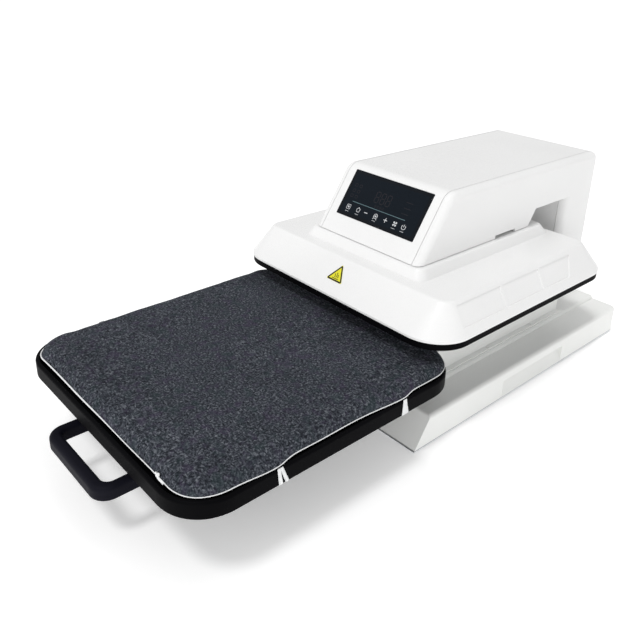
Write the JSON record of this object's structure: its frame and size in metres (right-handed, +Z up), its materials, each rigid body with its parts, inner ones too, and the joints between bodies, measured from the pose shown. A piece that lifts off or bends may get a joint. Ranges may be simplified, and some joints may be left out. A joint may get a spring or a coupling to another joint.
{
  "type": "drawer-style automatic heat press",
  "caption": "Benchtop heat press: padded platen on a pull-out drawer, motor-lowered heating head under a cantilever arm with a sloped touch display, sheet-metal base.",
  "frame": {"origin": "on the table plane under the centre of the overall footprint, drawer pulled out", "axes": "+Z up, -Y towards the operator and the way the drawer pulls out, +X to the operator's right seen from the front"},
  "size_m": [0.43, 0.9424, 0.3216],
  "materials": {
    "white_plastic": "gloss moulded shell",
    "white_paint": "powder coat, satin",
    "black_paint": "satin black powder coat",
    "black_plastic": "fine matt texture",
    "black_glass": "glossy black touch panel",
    "silicone": "heat-resistant silicone sponge",
    "cover_cloth": "heather grey knit, white edge",
    "white_elastic": "woven elastic",
    "foot_rubber": "matt",
    "aluminium": "machined",
    "steel": "bright steel",
    "zinc_steel": "zinc plated",
    "bronze": "bearing bronze",
    "board": "circuit board",
    "insulation": "fibre board",
    "sign_yellow": "printed label"
  },
  "bodies": {
    "base": {"base_bottom": "zinc_steel", "base_shell": "white_paint", "base_deck": "white_paint", "rubber_feet": "foot_rubber", "deck_screws": "zinc_steel", "frame_plate_left": "zinc_steel", "frame_plate_right": "zinc_steel", "arm_cross_plate": "zinc_steel", "arm_top_brace": "zinc_steel", "column_brace": "zinc_steel", "frame_angles": "zinc_steel", "frame_bolts": "steel", "guide_bushes": "bronze", "screw_bearing": "steel", "gearbox": "aluminium", "motor": "black_paint", "arm_side_right": "white_plastic", "arm_side_left": "white_plastic", "arm_top_cover": "white_plastic", "arm_under_cover": "white_plastic", "column_front_cover": "white_plastic", "rear_cover": "white_plastic", "display_glass": "black_glass", "display_board": "board", "power_inlet": "black_plastic", "switch_housing": "black_plastic", "rear_screws": "zinc_steel", "control_board": "board", "power_supply": "zinc_steel", "heater_relay": "black_plastic", "slide_outer_right": "zinc_steel", "slide_outer_left": "zinc_steel", "slide_bracket_right": "white_paint", "slide_bracket_left": "white_paint", "drawer_bumpers": "foot_rubber"},
    "head": {"head_cover": "white_plastic", "head_rim": "black_paint", "heat_platen": "aluminium", "heating_element": "steel", "insulation_board": "insulation", "platen_standoffs": "steel", "pressure_plate": "zinc_steel", "guide_rods": "steel", "screw_nut": "bronze", "hot_sign": "sign_yellow"},
    "screw": {"lead_screw": "steel"},
    "rocker": {"power_rocker": "black_plastic"},
    "slide_middle": {"slide_middle_right": "zinc_steel", "slide_middle_left": "zinc_steel"},
    "drawer": {"slide_inner_right": "zinc_steel", "slide_inner_left": "zinc_steel", "drawer_carriage": "black_paint", "platen_tray": "black_paint", "platen_posts": "steel", "lower_platen": "aluminium", "silicone_pad": "silicone", "pad_cover": "cover_cloth", "cover_straps": "white_elastic", "drawer_handle": "black_plastic", "handle_screws": "zinc_steel"}
  },
  "joints": [
    {"name": "drawer_slide", "type": "slide", "parent": "base", "child": "drawer", "axis": [0, 1, 0], "range_m": [0, 0.366]},
    {"name": "middle_slide", "type": "slide", "parent": "base", "child": "slide_middle", "axis": [0, 1, 0], "range_m": [0, 0.183]},
    {"name": "head_press", "type": "slide", "parent": "base", "child": "head", "axis": [0, 0, -1], "range_m": [0, 0.021]},
    {"name": "screw_spin", "type": "hinge", "parent": "base", "child": "screw", "pos_m": [0, 0.14305, 0.24], "axis": [0, 0, 1], "range_deg": [0, 1895]},
    {"name": "rocker_tilt", "type": "hinge", "parent": "base", "child": "rocker", "pos_m": [-0.022, 0.46425, 0.092], "axis": [1, 0, 0], "range_deg": [0, 14]}
  ],
  "couplings": [
    {"joint": "middle_slide", "follows": "drawer_slide", "ratio": 0.5},
    {"joint": "screw_spin", "follows": "head_press", "rad_per_m": 1570.8}
  ]
}
